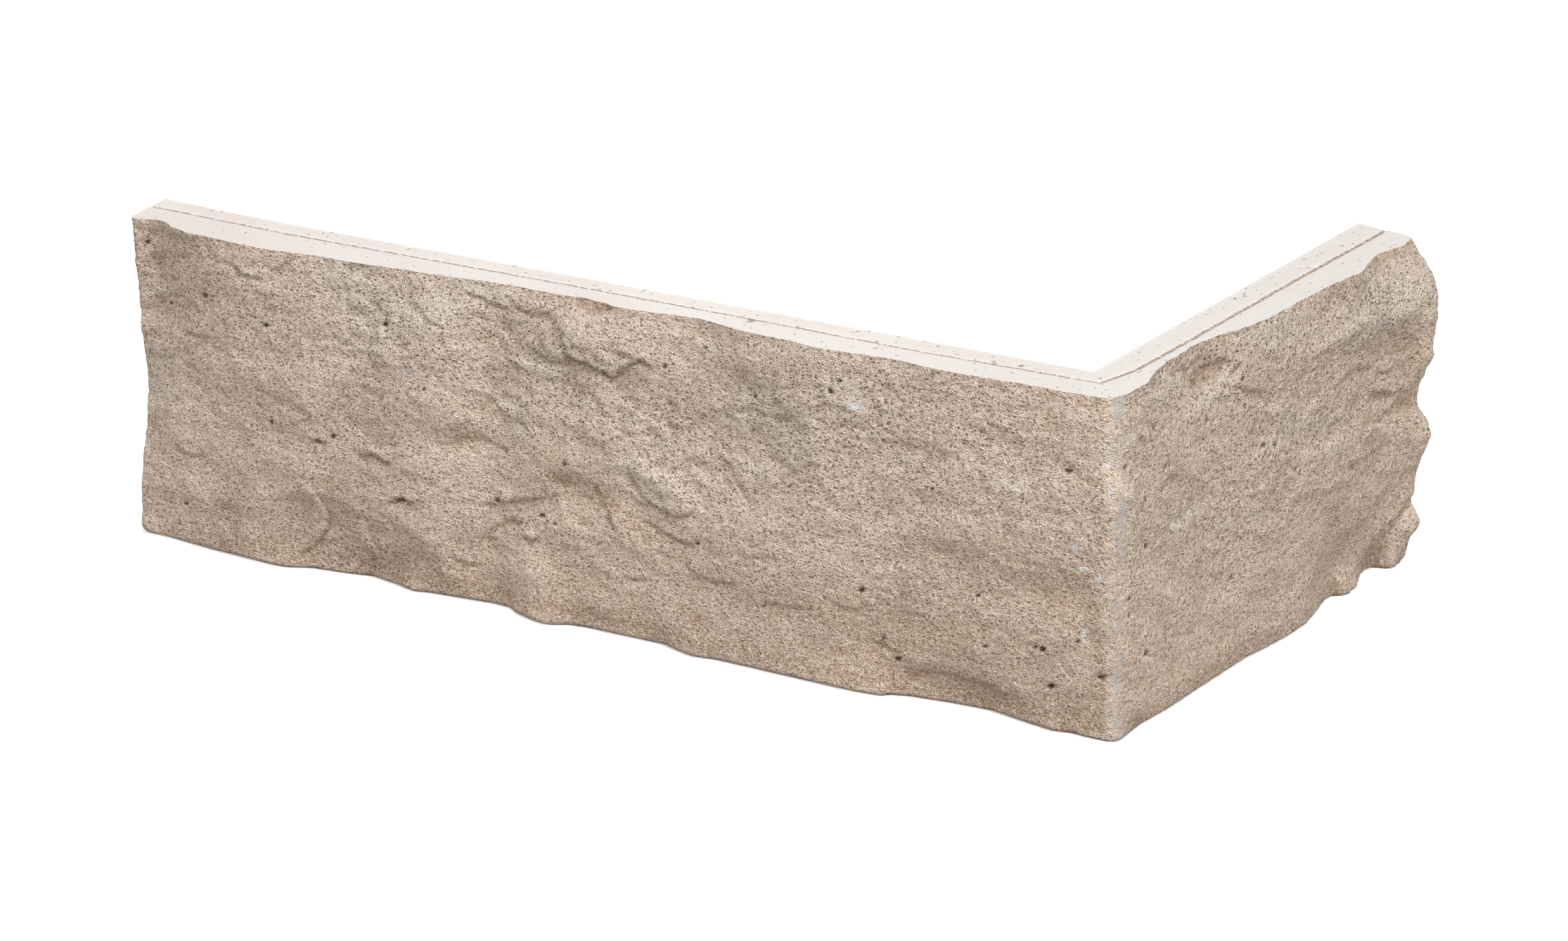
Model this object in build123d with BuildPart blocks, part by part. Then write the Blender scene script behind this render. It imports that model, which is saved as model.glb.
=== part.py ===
import os
from math import exp

from build123d import *

# Corner piece of stone wall cladding, cast in one piece with a split rock face.
# Seen from above it is an L: a long leg and a short leg that wrap an outer wall corner.
# Frame: the wall's corner line is the Z axis. The long leg lies along -X and its rock
# face looks towards -Y; the short leg lies along +Y and its rock face looks towards +X.
# The piece stands on its lower bed, z = 0. All lengths are in millimetres.

# Legs, measured on the wall side from the wall's corner line
long_leg = 287.8
short_leg = 148.5
height = 90.0

# Mean thickness of each leg; the rock faces swing about it
long_thickness = 18.0
short_thickness = 17.0

# The free ends are not quite square: each leans back towards the rock face
long_end_lean = 0.11
short_end_lean = 0.22

# The free end of the long leg bows a little towards the wall
bow_length = 46.0
bow_rise = 2.0

# Worn upright corners
arris_radius = 3.0
long_end_radius = 1.5
short_end_radius = 1.5

# Seam between the backing layer and the facing layer, open on both beds and both ends
long_seam_offset = 7.0
short_seam_offset = 8.5
seam_width = 0.6
seam_depth = 0.5

# The rock faces. Each line follows one height of a face and gives pairs of
# (share of the leg from the wall corner, thickness above or below the mean).
# The rim is the upper bed's edge, the foot is the lower bed's edge, and the belly
# line runs between them at belly_share of the height.
belly_share = 0.54

long_rim = [
    (0.00, -0.3), (0.09, 0.3), (0.13, 0.5), (0.18, -0.8), (0.23, 1.0), (0.28, 0.0),
    (0.33, -1.2), (0.365, -3.6), (0.40, -3.2), (0.44, -2.2), (0.47, -1.4), (0.53, -2.8),
    (0.57, -3.2), (0.62, -1.2), (0.665, 1.2), (0.70, 0.0), (0.735, 1.8), (0.78, 2.8),
    (0.84, 4.4), (0.88, 3.8), (0.92, 1.8), (0.95, -0.8), (1.00, -1.6),
]
long_belly = [
    (0.00, 2.0), (0.06, 2.2), (0.12, 2.3), (0.17, 1.6), (0.20, 2.8), (0.27, 2.6),
    (0.32, 1.4), (0.36, -0.4), (0.40, -0.4), (0.44, 0.2), (0.48, 1.4), (0.52, -0.4),
    (0.555, 0.2), (0.58, -2.0), (0.61, -1.2), (0.64, 1.8), (0.68, 2.6), (0.715, 1.6),
    (0.75, 3.8), (0.79, 5.0), (0.84, 4.4), (0.88, 3.2), (0.92, 1.0), (0.95, -1.6),
    (0.98, -4.2), (1.00, -6.3),
]
long_foot = [
    (0.00, 2.2), (0.03, 1.2), (0.07, 0.0), (0.13, 0.2), (0.165, 1.6), (0.19, 2.6),
    (0.30, 2.8), (0.38, 3.0), (0.41, 0.6), (0.50, 0.4), (0.53, 2.8), (0.555, 1.8),
    (0.575, -3.6), (0.62, -2.0), (0.68, 0.8), (0.70, -1.0), (0.73, -1.6), (0.78, -0.6),
    (0.82, 2.0), (0.87, 2.0), (0.93, 0.8), (1.00, -1.0),
]
short_rim = [
    (0.00, -1.5), (0.06, -2.2), (0.12, -2.8), (0.18, -3.0), (0.25, -2.8), (0.31, -2.0),
    (0.36, -0.4), (0.42, 0.4), (0.52, 0.6), (0.62, 1.4), (0.70, 2.4), (0.765, 2.2),
    (0.80, -0.2), (0.86, -0.4), (0.93, -0.2), (1.00, -0.4),
]
short_belly = [
    (0.00, 1.2), (0.08, 0.8), (0.16, 0.2), (0.24, 0.2), (0.31, 1.4), (0.37, 3.0),
    (0.47, 3.2), (0.57, 4.2), (0.64, 3.8), (0.72, 4.8), (0.78, 3.8), (0.86, 4.4),
    (0.93, 5.0), (1.00, 5.4),
]
short_foot = [
    (0.00, 1.2), (0.08, 0.9), (0.17, 1.3), (0.30, 1.6), (0.37, 1.8), (0.44, 2.6),
    (0.55, 3.2), (0.61, 2.4), (0.66, 1.2), (0.71, 0.8), (0.77, 1.4), (0.83, 0.8),
    (0.89, 1.8), (0.95, 2.8), (1.00, 1.8),
]

# Broad bulges and dips between those lines:
# (share of the leg, share of the height, reach along, reach up, rise)
long_waves = [
    (0.475, 0.87, 9.0, 7.0, 1.6),
    (0.420, 0.52, 13.0, 7.0, 1.6),
    (0.280, 0.35, 24.0, 14.0, 0.6),
    (0.660, 0.76, 9.0, 10.0, 1.2),
    (1.000, 0.78, 8.0, 12.0, 2.0),
    (1.000, 0.62, 8.0, 6.0, 1.2),
    (1.000, 0.18, 8.0, 10.0, 2.4),
]
short_waves = [
    (0.930, 0.90, 19.0, 7.5, 6.8),
    (1.000, 0.77, 16.0, 10.5, 6.4),
    (1.000, 0.65, 9.0, 5.0, 1.6),
    (0.980, 0.40, 13.0, 6.0, 4.2),
    (1.000, 0.27, 9.0, 4.5, 1.4),
    (1.000, 0.18, 9.0, 3.6, -2.6),
    (0.980, 0.12, 9.0, 5.0, 4.2),
]

# Shell-shaped hollows left by flakes that broke away:
# (share of the leg, share of the height, length, height, depth, slope in degrees)
long_flakes = [
    (0.735, 0.050, 48.0, 24.0, 2.2, 4.0),
    (0.100, 0.020, 44.0, 16.0, 2.0, 2.0),
    (0.415, 0.400, 36.0, 13.0, 1.5, 22.0),
    (0.375, 0.730, 40.0, 28.0, 1.2, 10.0),
    (0.545, 0.300, 40.0, 22.0, 1.1, -14.0),
    (0.460, 0.010, 40.0, 12.0, 1.2, 0.0),
]
short_flakes = [
    (0.170, 1.000, 38.0, 28.0, 2.4, 0.0),
    (0.740, 0.060, 42.0, 22.0, 2.2, 6.0),
    (0.960, 0.530, 24.0, 9.0, 1.8, -4.0),
    (0.740, 0.610, 20.0, 8.0, 0.8, -6.0),
]

# Heights at which the outline of the piece is drawn, as shares of the height,
# and the number of places along each leg where its thickness is taken
levels = [0.0, 0.07, 0.15, 0.23, 0.32, 0.41, 0.50, 0.59, 0.68, 0.77, 0.86, 0.94, 1.0]
long_stations = 22
short_stations = 12

# How far the outlines overlap the wall before the wall corner is cut away
backing = 6.0


def along_line(line, share):
    if share <= line[0][0]:
        return line[0][1]
    for (left, low), (right, high) in zip(line, line[1:]):
        if share <= right:
            return low + (high - low) * (share - left) / (right - left)
    return line[-1][1]


def swing(lines, waves, leg, share, up):
    rim, belly, foot = [along_line(line, share) for line in lines]
    if up > belly_share:
        away = (up - belly_share) / (1.0 - belly_share)
        offset = belly + (rim - belly) * away**1.6
    else:
        away = (belly_share - up) / belly_share
        offset = belly + (foot - belly) * away**2.2
    for at_share, at_up, reach_along, reach_up, rise in waves:
        dx = (share - at_share) * leg / reach_along
        dz = (up - at_up) * height / reach_up
        offset += rise * exp(-dx * dx - dz * dz)
    return offset


def long_depth(share, up):
    lines = (long_rim, long_belly, long_foot)
    return long_thickness + swing(lines, long_waves, long_leg, share, up)


def short_depth(share, up):
    lines = (short_rim, short_belly, short_foot)
    return short_thickness + swing(lines, short_waves, short_leg, share, up)


def long_end_x(y):
    return -long_leg - long_end_lean * y


def short_end_y(x):
    return short_leg - short_end_lean * x


def wheel_radius(chord, depth):
    return (chord * chord / 4 + depth * depth) / (2 * depth)


long_shares = [1.0 - i / long_stations for i in range(1, long_stations + 1)]
short_shares = [i / short_stations for i in range(short_stations)]
long_steps = [0.0] + [1.0 - share for share in long_shares]
long_steps.append(1.0 + short_thickness / long_leg)
short_steps = [-long_thickness / short_leg] + short_shares + [1.0]


with BuildPart() as corner_stone:
    # Level outlines, one above the other, joined into the rock faces
    for up in levels:
        arris_x = short_depth(0.0, up)
        arris_y = -long_depth(0.0, up)
        left_y = -long_depth(1.0, up)
        left_x = long_end_x(left_y)
        far_x = short_depth(1.0, up)
        far_y = short_end_y(far_x)
        long_points = [(left_x + long_end_radius, left_y)]
        for share in long_shares:
            long_points.append((-share * long_leg, -long_depth(share, up)))
        long_points.append((arris_x - arris_radius, arris_y))
        short_points = [(arris_x, arris_y + arris_radius)]
        for share in short_shares:
            short_points.append((short_depth(share, up), share * short_leg))
        short_points.append((far_x, far_y - short_end_radius))
        left_corner = (long_end_x(left_y + long_end_radius), left_y + long_end_radius)
        far_corner = (far_x - short_end_radius, short_end_y(far_x - short_end_radius))
        with BuildSketch(Plane.XY.offset(up * height)):
            with BuildLine():
                long_face = Edge.make_spline(
                    long_points,
                    tangents=[(long_leg, 0), (long_leg, 0)],
                    parameters=long_steps,
                    scale=False,
                )
                short_face = Edge.make_spline(
                    short_points,
                    tangents=[(0, short_leg), (0, short_leg)],
                    parameters=short_steps,
                    scale=False,
                )
                add([long_face, short_face])
                TangentArc(long_face @ 1, short_face @ 0, tangent=(1, 0))
                TangentArc(short_face @ 1, far_corner, tangent=(0, 1))
                Polyline(
                    far_corner,
                    (-backing, short_end_y(-backing)),
                    (-backing, backing),
                    (long_end_x(backing), backing),
                    left_corner,
                )
                TangentArc(long_face @ 0, left_corner, tangent=(-1, 0))
            make_face()
    loft()

    # The wall corner that the legs wrap, with the bow at the long leg's free end
    with BuildSketch(Plane.XY.offset(-backing)):
        with BuildLine():
            flat_back = Line((0, 0), (bow_length - long_leg, 0))
            past_end = long_end_x(bow_rise) - 1.0
            bow = TangentArc(flat_back @ 1, (past_end, bow_rise), tangent=(-1, 0))
            Polyline(
                bow @ 1,
                (past_end, short_leg + 2 * backing),
                (0, short_leg + 2 * backing),
                (0, 0),
            )
        make_face()
    extrude(amount=height + 2 * backing, mode=Mode.SUBTRACT)

    # Flake hollows, each cut by the rounded rim of a wheel that stands off the face
    for share, up, length, tall, depth, slope in long_flakes:
        rim = wheel_radius(tall, depth)
        reach = wheel_radius(length, depth)
        hub = (-share * long_leg, depth - reach - long_depth(share, up), up * height)
        with Locations(Plane(hub, z_dir=Vector(0, 0, 1).rotate(Axis.Y, slope))):
            Torus(reach - rim, rim, mode=Mode.SUBTRACT)
    for share, up, length, tall, depth, slope in short_flakes:
        rim = wheel_radius(tall, depth)
        reach = wheel_radius(length, depth)
        hub = (short_depth(share, up) + reach - depth, share * short_leg, up * height)
        with Locations(Plane(hub, z_dir=Vector(0, 0, 1).rotate(Axis.X, -slope))):
            Torus(reach - rim, rim, mode=Mode.SUBTRACT)

    # The seam: a fine open joint round both beds and down both free ends
    seam_x = short_seam_offset
    seam_y = -long_seam_offset
    for bed in (0.0, height - seam_depth):
        with BuildSketch(Plane.XY.offset(bed)):
            with Locations(((seam_x - long_leg - backing) / 2, seam_y)):
                Rectangle(long_leg + backing + seam_x + seam_width, seam_width)
            with Locations((seam_x, (short_leg + backing + seam_y) / 2)):
                Rectangle(seam_width, short_leg + backing - seam_y)
        extrude(amount=seam_depth, mode=Mode.SUBTRACT)
    with BuildSketch(Plane.XY):
        with Locations((long_end_x(seam_y), seam_y)):
            Rectangle(2 * seam_depth, seam_width)
        with Locations((seam_x, short_end_y(seam_x))):
            Rectangle(seam_width, 2 * seam_depth)
    extrude(amount=height, mode=Mode.SUBTRACT)

corner_stone.part.label = "corner_stone"

os.makedirs("parts", exist_ok=True)
export_step(corner_stone.part, "parts/corner_stone.step")
print("volume", round(corner_stone.part.volume / 1000), "cm3")
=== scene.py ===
import math

import bmesh
import bpy
import numpy as np
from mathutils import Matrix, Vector
from mathutils.bvhtree import BVHTree


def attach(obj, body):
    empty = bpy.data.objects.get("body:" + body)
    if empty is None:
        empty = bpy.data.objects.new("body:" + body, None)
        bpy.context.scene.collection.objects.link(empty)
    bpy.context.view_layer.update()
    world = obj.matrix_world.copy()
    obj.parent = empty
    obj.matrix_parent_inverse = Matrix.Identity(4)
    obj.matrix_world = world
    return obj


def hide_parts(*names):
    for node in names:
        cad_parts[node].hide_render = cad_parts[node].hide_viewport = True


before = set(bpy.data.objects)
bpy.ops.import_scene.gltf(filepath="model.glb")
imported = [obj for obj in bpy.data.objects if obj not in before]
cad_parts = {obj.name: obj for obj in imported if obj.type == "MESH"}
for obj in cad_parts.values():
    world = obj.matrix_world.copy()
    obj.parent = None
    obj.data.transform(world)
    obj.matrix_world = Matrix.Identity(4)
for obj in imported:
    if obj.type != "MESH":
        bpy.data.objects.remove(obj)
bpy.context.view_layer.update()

# The split faces are a grid of columns and rows. Rays find the solid's surface there, and relief is
# added to it. Beds, ends and wall sides close the mesh, and node trees give it grain and finish.
# Lengths are in millimetres, and the meshes are written in metres.
mm = 0.001
long_leg = 287.8
short_leg = 148.5
height = 90.0
long_end_lean = 0.11
short_end_lean = 0.22
lean_run = 45.0

# Cells of the grid: along the long face, round the arris, along the short face and up
long_cell = 0.85
turn_steps = 44
short_cell = 0.95
rows = 139
up = np.linspace(0.0, height, rows)

# How far one radian round the arris counts as a way along the face
arris_run = 22.0

# The rays start this far out, and stay this far inside the beds, free ends and wall side's end
ray_out = 80.0
edge_inset, end_inset, wall_inset = 0.25, 3.0, 0.5
solid_blur = 1.3

# How far the photographed view shifts a place sideways and up for each millimetre that it lies
# behind a plane at seen_depth from the wall side
seen_depth = 20.0
long_shift, long_lift = 0.6, 0.402
short_shift, short_lift = 1.663, 0.669


# ---- numbers

def eased(x, low, high):
    """0 below low, 1 above high, and a smooth run between them."""
    t = np.clip((x - low) / (high - low), 0.0, 1.0)
    return t * t * (3.0 - 2.0 * t)


def fading(d):
    """1 at 0, and smoothly down to 0 at a distance of 1."""
    t = 1.0 - np.abs(d)
    return t * t * t * (t * (6.0 * t - 15.0) + 10.0)


def ripple(u, v, seed):
    """Random smooth ripples, about one unit long, between -1 and 1."""
    dice = np.random.default_rng(seed)
    order = dice.permutation(256)
    turns = dice.random(256) * 2.0 * math.pi
    left, low = np.floor(u).astype(int), np.floor(v).astype(int)
    total = np.zeros(np.broadcast(u, v).shape)
    for i in (0, 1):
        for j in (0, 1):
            du, dv = u - left - i, v - low - j
            turn = turns[order[(order[(left + i) % 256] + low + j) % 256]]
            share = fading(du) * fading(dv)
            total += share * (np.cos(turn) * du + np.sin(turn) * dv)
    return total * 1.5


def softened(field, reach):
    """The field with a bell-shaped blur of that reach, in millimetres."""
    out = field
    for axis, cell in ((0, long_cell), (1, height / (rows - 1))):
        steps = int(reach / cell * 3.0) + 1
        bell = np.exp(-0.5 * (np.arange(-steps, steps + 1) * cell / reach) ** 2)
        bell /= bell.sum()
        pads = [(0, 0), (0, 0)]
        pads[axis] = (steps, steps)
        padded = np.pad(out, pads, mode="edge")
        out = sum(
            share * np.take(padded, range(i, i + field.shape[axis]), axis=axis)
            for i, share in enumerate(bell)
        )
    return out


def rounding(away, radius):
    """How far a rounded edge falls back at that distance from it."""
    into = np.clip(1.0 - away / radius, 0.0, 1.0)
    return radius * (1.0 - np.sqrt(1.0 - into * into))


# ---- the outline

along_long = np.linspace(-long_leg, 0.0, round(long_leg / long_cell) + 1)[:-1]
turning = np.linspace(0.0, math.pi / 2, turn_steps + 1)[:-1]
along_short = np.linspace(0.0, short_leg, round(short_leg / short_cell) + 1)
no_long, no_turn, no_short = (np.zeros_like(part) for part in (along_long, turning, along_short))
lean_out = 1.0 - eased(along_long, -long_leg, lean_run - long_leg)
lean_up = eased(along_short, short_leg - lean_run, short_leg)

# Each column stands at a root on the wall side and heads outwards. run is its way along the faces.
root_x = np.concatenate([along_long, no_turn, no_short])
root_y = np.concatenate([no_long, no_turn, along_short])
head_x = np.concatenate([long_end_lean * lean_out, np.sin(turning), no_short + 1.0])
head_y = np.concatenate([no_long - 1.0, -np.cos(turning), -short_end_lean * lean_up])
run = np.concatenate([along_long, turning * arris_run, along_short + arris_run * math.pi / 2])
columns = len(run)
first_turn = len(along_long)
first_short = first_turn + turn_steps

# How much each column belongs to each face
angle = np.concatenate([no_long, turning, no_short + math.pi / 2])
degrees = np.degrees(angle)[:, None]
share_short = eased(degrees, 30.0, 60.0)
share_long = 1.0 - share_short


def solid_tree():
    """The solid's surface, ready for rays."""
    solid = bmesh.new()
    solid.from_mesh(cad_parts["corner_stone"].data)
    bmesh.ops.remove_doubles(solid, verts=solid.verts, dist=1e-6)
    return BVHTree.FromBMesh(solid)


def solid_reach(tree):
    """How far the solid's outer side lies from the wall side, for each column and height."""
    reach = np.zeros((columns, rows))
    at_x = np.clip(root_x, end_inset - long_leg, 0.0)
    at_y = np.clip(root_y, 0.0, short_leg - end_inset)
    for c in range(columns):
        heading = Vector((head_x[c], head_y[c], 0.0))
        start = Vector((at_x[c], at_y[c], 0.0)) + heading * ray_out
        for r in range(rows):
            start.z = min(max(up[r], edge_inset), height - edge_inset)
            hit = tree.ray_cast(start * mm, -heading)[0]
            reach[c, r] = ray_out - (start * mm - hit).length / heading.length / mm
    return reach


def wall_side(tree):
    """Where the long leg's wall side lies: it bows out of line towards the end."""
    back = np.zeros(columns)
    for c in range(first_turn):
        start = Vector((max(along_long[c], wall_inset - long_leg), ray_out / 2, height / 2))
        back[c] = tree.ray_cast(start * mm, Vector((0.0, -1.0, 0.0)))[0].y / mm
    return back


tree = solid_tree()
base = softened(solid_reach(tree), solid_blur)
back = wall_side(tree)

Z = np.broadcast_to(up, (columns, rows))
RUN = np.broadcast_to(run[:, None], (columns, rows))
X = root_x[:, None] + head_x[:, None] * base
Y = root_y[:, None] + head_y[:, None] * base

# The same places as seen square on to each face, where the features are measured
long_u, long_v = X + long_shift * (seen_depth + Y), Z + long_lift * (seen_depth + Y)
short_u, short_v = Y + short_shift * (X - seen_depth), Z - short_lift * (X - seen_depth)
sights = ((share_long, long_u, long_v), (share_short, short_u, short_v))


# ---- features of the split faces

wander_u = ripple(RUN / 4.0, Z / 4.0, 11) * 0.7
wander_v = ripple(RUN / 3.0, Z / 4.0, 12) * 0.7

# The crack under a broken edge: how far below its line it runs, half its width, and the step
# above which it gets no deeper
crack_below, crack_wide, crack_step = 0.35, 0.45, 1.5


def from_line(points, u, v):
    """Signed distance from a broken line, plus on its left hand, and the share of the way along."""
    near, side, share = np.full(u.shape, 1e9), np.ones(u.shape), np.zeros(u.shape)
    for i, ((ax, ay), (bx, by)) in enumerate(zip(points, points[1:])):
        dx, dy = bx - ax, by - ay
        t = np.clip(((u - ax) * dx + (v - ay) * dy) / (dx * dx + dy * dy), 0.0, 1.0)
        away = np.hypot(u - ax - t * dx, v - ay - t * dy)
        hand = np.sign(dx * (v - ay) - dy * (u - ax))
        closer = away < near
        near = np.where(closer, away, near)
        side = np.where(closer, hand, side)
        share = np.where(closer, (i + t) / (len(points) - 1), share)
    return near * side, share


def ledge(u, v, points, rise, drop, above=3.0, below=3.0):
    """A broken edge, proud on the line's left hand and undercut on its right. Also its crack, which is given
    dirt and painted shade.
    """
    d, share = from_line(points, u + wander_u, v + wander_v)
    fade = eased(share, 0.0, 0.15) * (1.0 - eased(share, 0.85, 1.0))
    over = eased(d, -0.25, 0.35)
    proud = rise * np.exp(-np.maximum(d, 0.0) / above) * over
    sunk = drop * np.exp(np.minimum(d, 0.0) / below) * (1.0 - over)
    crack = np.exp(-((d + crack_below) / crack_wide) ** 2) * fade * (0.75 + 0.7 * wander_u)
    deep = min(rise + drop, crack_step)
    return (proud - sunk) * fade - 0.3 * deep * crack, crack * min(0.6, 0.35 * deep)


def swell(u, v, at_u, at_v, reach_u, reach_v, rise, slope=0.0, lean=0.0):
    """A bulge, or a dip where the rise is negative, turned by slope in degrees. The lean lengthens
    its upper side and shortens its lower side."""
    c, s = math.cos(math.radians(slope)), math.sin(math.radians(slope))
    du, dv = u - at_u, v - at_v
    along, across = du * c + dv * s, dv * c - du * s
    across = across / np.where(across > 0.0, 1.0 + lean, 1.0 - lean)
    return rise * np.exp(-(along / reach_u) ** 2 - (across / reach_v) ** 2)


# Broken edges: (points, rise, drop), most with their reach above and below
long_ledges = [
    ([(-146, 77), (-144.5, 76), (-139.5, 74.8), (-135, 73.4), (-131, 71.9), (-127, 75.1), (-122.8, 78.2),
      (-119, 77.4), (-117, 76)], 0.85, 0.4, 8, 5),
    ([(-155, 75), (-151.5, 73.6), (-147.4, 73.3), (-144.5, 76)], 0.4, 0.3, 5, 3),
    ([(-145.6, 86.5), (-146, 83), (-145.6, 80), (-144.5, 77)], 0.5, 0.3, 5, 3),
    ([(-130, 90.5), (-132.8, 89.3), (-134.7, 88.1), (-138.8, 87.8), (-141, 89.3),
      (-143.5, 90.8)], 0.3, 1, 4, 4),
    ([(-165, 90.5), (-161, 88), (-158, 85.5), (-154, 85), (-150, 86.5), (-146, 86)], 0.3, 0.3, 5, 3),
    ([(-178, 87.5), (-172, 87), (-167, 85.7), (-162, 86)], 0.4, 0.4, 4, 3),
    ([(-128, 50), (-127, 48.1), (-122.3, 42.4), (-118.3, 39.2), (-114.3, 38.9), (-110.9, 37.2),
      (-107.3, 38.4), (-106, 40.3), (-105, 43)], 0.5, 0.2, 8, 4),
    ([(-99, 62), (-98.8, 57.5), (-95, 55), (-93, 51), (-91, 48.5), (-88.5, 45)], 0.3, 0.15, 6, 5),
    ([(-129, 36.5), (-124, 34.5), (-119, 34), (-115, 31.8), (-108, 31), (-104.5, 29.5)], 0.35, 0.35, 5, 4),
    ([(-123, 29), (-115, 26), (-108, 23.5), (-104, 22), (-98, 21.5), (-89, 22.8)], 0.2, 0.2, 6, 5),
    ([(-137, 42), (-134.9, 38.1), (-131, 32.1), (-129, 28)], 0.4, 0.3, 4, 4),
    ([(-125.5, 40.4), (-123, 39.3), (-119.6, 38.4)], 0.3, 0.2, 3, 2),
    ([(-175, 29), (-167, 31), (-163, 32), (-155, 34.5), (-147, 36.8)], 0.35, 0.4, 5, 5),
    ([(-175, 18.5), (-168, 24), (-165, 26), (-156, 27.8)], 0.3, 0.35, 5, 4),
    ([(-160, 22.6), (-157, 22.2), (-154, 24.2)], 0.5, 0.5, 1.6, 1.6),
    ([(-189, 45), (-183, 44.3), (-178, 47), (-172, 48), (-166, 46.5), (-160, 46.8)], 0.2, 0.3, 4, 3),
    ([(-212, 35.8), (-207, 37), (-200, 36)], 0.5, 0.6, 4, 3),
    ([(-227.5, 38), (-221, 38)], 0.4, 0.4, 3, 2),
    ([(-202, 25.2), (-193, 26.4)], 0.3, 0.9, 3, 1.6),
    ([(-236, 1), (-229, 6), (-224, 10), (-222, 14), (-221, 17.5), (-225, 23), (-229, 27)], 0.6, 0.5, 8, 8),
    ([(-50, 0), (-43, 3.5), (-40, 7), (-37, 9), (-30, 9.6), (-20, 9), (-10, 6.5)], 0.2, 0.25, 7, 7),
    ([(-53, 14.3), (-48, 13.2), (-43, 12.6)], 0.2, 0.4),
    ([(-239, 80.5), (-236, 84), (-232, 87)], 0.3, 0.4),
    ([(-250, 83), (-245, 81), (-240, 80.3)], 0.5, 0.4),
    ([(-218, 69), (-212, 67), (-205, 65.8), (-200, 65.8)], 0.25, 0.2, 4, 4),
    ([(-193.5, 89), (-192.6, 85), (-191.8, 81), (-187, 78), (-182, 76)], 0.3, 0.4, 4, 3),
    ([(-177, 62), (-171, 60), (-167, 58.5), (-160, 55), (-152, 50.5)], 0.2, 0.1, 6, 5),
    ([(-96, 31), (-90, 30.2), (-84, 31.4), (-80, 31)], 0.15, 0.2, 4, 3),
    ([(-128, 18), (-124, 17.3), (-120, 18.6)], 0.3, 0.5, 2.5, 2),
    ([(-182, 13), (-176, 12.2), (-172, 13)], 0.3, 0.4, 3, 2),
    ([(-66, 23), (-60, 22), (-52, 23)], 0.2, 0.3),
    ([(-86, 19), (-80, 18.4), (-72, 19.6)], 0.2, 0.3),
    ([(-268, 62), (-262, 61), (-257, 62)], 0.2, 0.3),
    ([(-272, 29), (-266, 27), (-260, 27.5)], 0.2, 0.3),
]
short_ledges = [
    ([(30, 84.2), (34, 81.2), (38, 79), (45, 76.5), (52, 73.5), (58, 71.5)], 0.5, 0.4, 5, 3),
    ([(93, 62.3), (99, 62.9), (104, 63.2), (109, 63.8), (113, 62.4), (119, 60.3)], 0.35, 0.4, 5, 4),
    ([(120, 59), (124, 58.4), (130, 57.2)], 0.4, 0.4, 3, 2.5),
    ([(116, 54.2), (124, 52.6), (129, 50.4), (138, 50.2)], 0.6, 0.6, 4, 3),
    ([(122, 44), (127, 46.2), (133, 47.5), (139, 49.8)], 0.5, 0.7, 3, 4),
    ([(110, 42.2), (114, 45.2), (117, 45.9), (121, 44.4), (126, 43.6)], -1, -0.7, 3, 5),
    ([(104, 37.6), (112, 37), (119, 37.6), (128, 39)], 0.3, 0.4, 4, 3),
    ([(116.5, 4.5), (119, 8.5), (121, 11.6), (127, 13), (133, 13.6), (140, 15.3), (146, 17)], 0.8, 1.6, 4, 5),
    ([(30, 78), (34, 81), (38, 83.5), (44, 85)], 0.4, 0.3, 4, 4),
    ([(92, 52), (97, 52.5), (102, 52)], 0.3, 0.3, 3, 2),
    ([(36, 93), (33, 90.5), (27, 89.4), (22, 90.2), (16, 89.2), (11, 87)], 0.2, 0.6),
    ([(28, 88.2), (33, 87.2), (38, 85.6)], 0.4, 0.4, 2, 2),
    ([(16, 82.6), (22, 83.6), (28, 83.2)], -0.4, -0.4, 2, 2),
    ([(-2, 62), (4, 64.5), (9, 63)], 0.3, 0.4),
    ([(22, 58), (27, 54), (31, 49)], 0.3, 0.3),
    ([(62, 49), (68, 46), (74, 41.5)], 0.25, 0.3),
    ([(95, 23), (102, 25.5), (108, 26)], 0.2, 0.3),
]

# Rounded forms: (place along, place up, reach along, reach up, rise), some with slope and lean
long_swells = [
    (-134, 78, 13, 7, 0.9, 0, 0.5), (-143, 79.5, 5, 7, 0.5, 0, 0.6), (-137, 91, 5, 2.2, -1, -10),
    (-141, 38, 12, 5.5, -1.5, 0, 0.2), (-145, 47.5, 14, 4, 0.7, 4, 0.4), (-112, 46, 10, 7, 0.4, -30, 0.6),
    (-283, 85, 5, 9, 1.3), (-283, 60, 5, 6, 1.1), (-281, 37, 6, 8, -1.4), (-112, 68, 16, 12, -0.4),
    (-141, 28, 11, 7, 1, 10), (-140, 30.2, 2, 1.6, -0.8), (-156.5, 24.2, 2, 1.3, 0.7, 10),
    (-237, 60, 16, 20, -0.5), (-212, 11.5, 16, 5, 1.3), (-29, 7, 15, 3.5, 0.5), (-66, 76, 24, 9, 0.5, 8),
    (-22, 66, 26, 10, 0.4, 12), (-84, 56, 18, 9, 0.7, 16), (-205, 84, 26, 6, 0.6, 6),
    (-269, 90, 2.6, 1.6, 0.9), (-264.5, 89.3, 2.2, 1.6, 0.8), (-165, 90, 3, 3, 0.5), (-132, 3, 20, 3, -0.8),
    (-196, 24, 4, 1.6, -0.6, 6), (-185, 39, 16, 5, 0.4),
]
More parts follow.
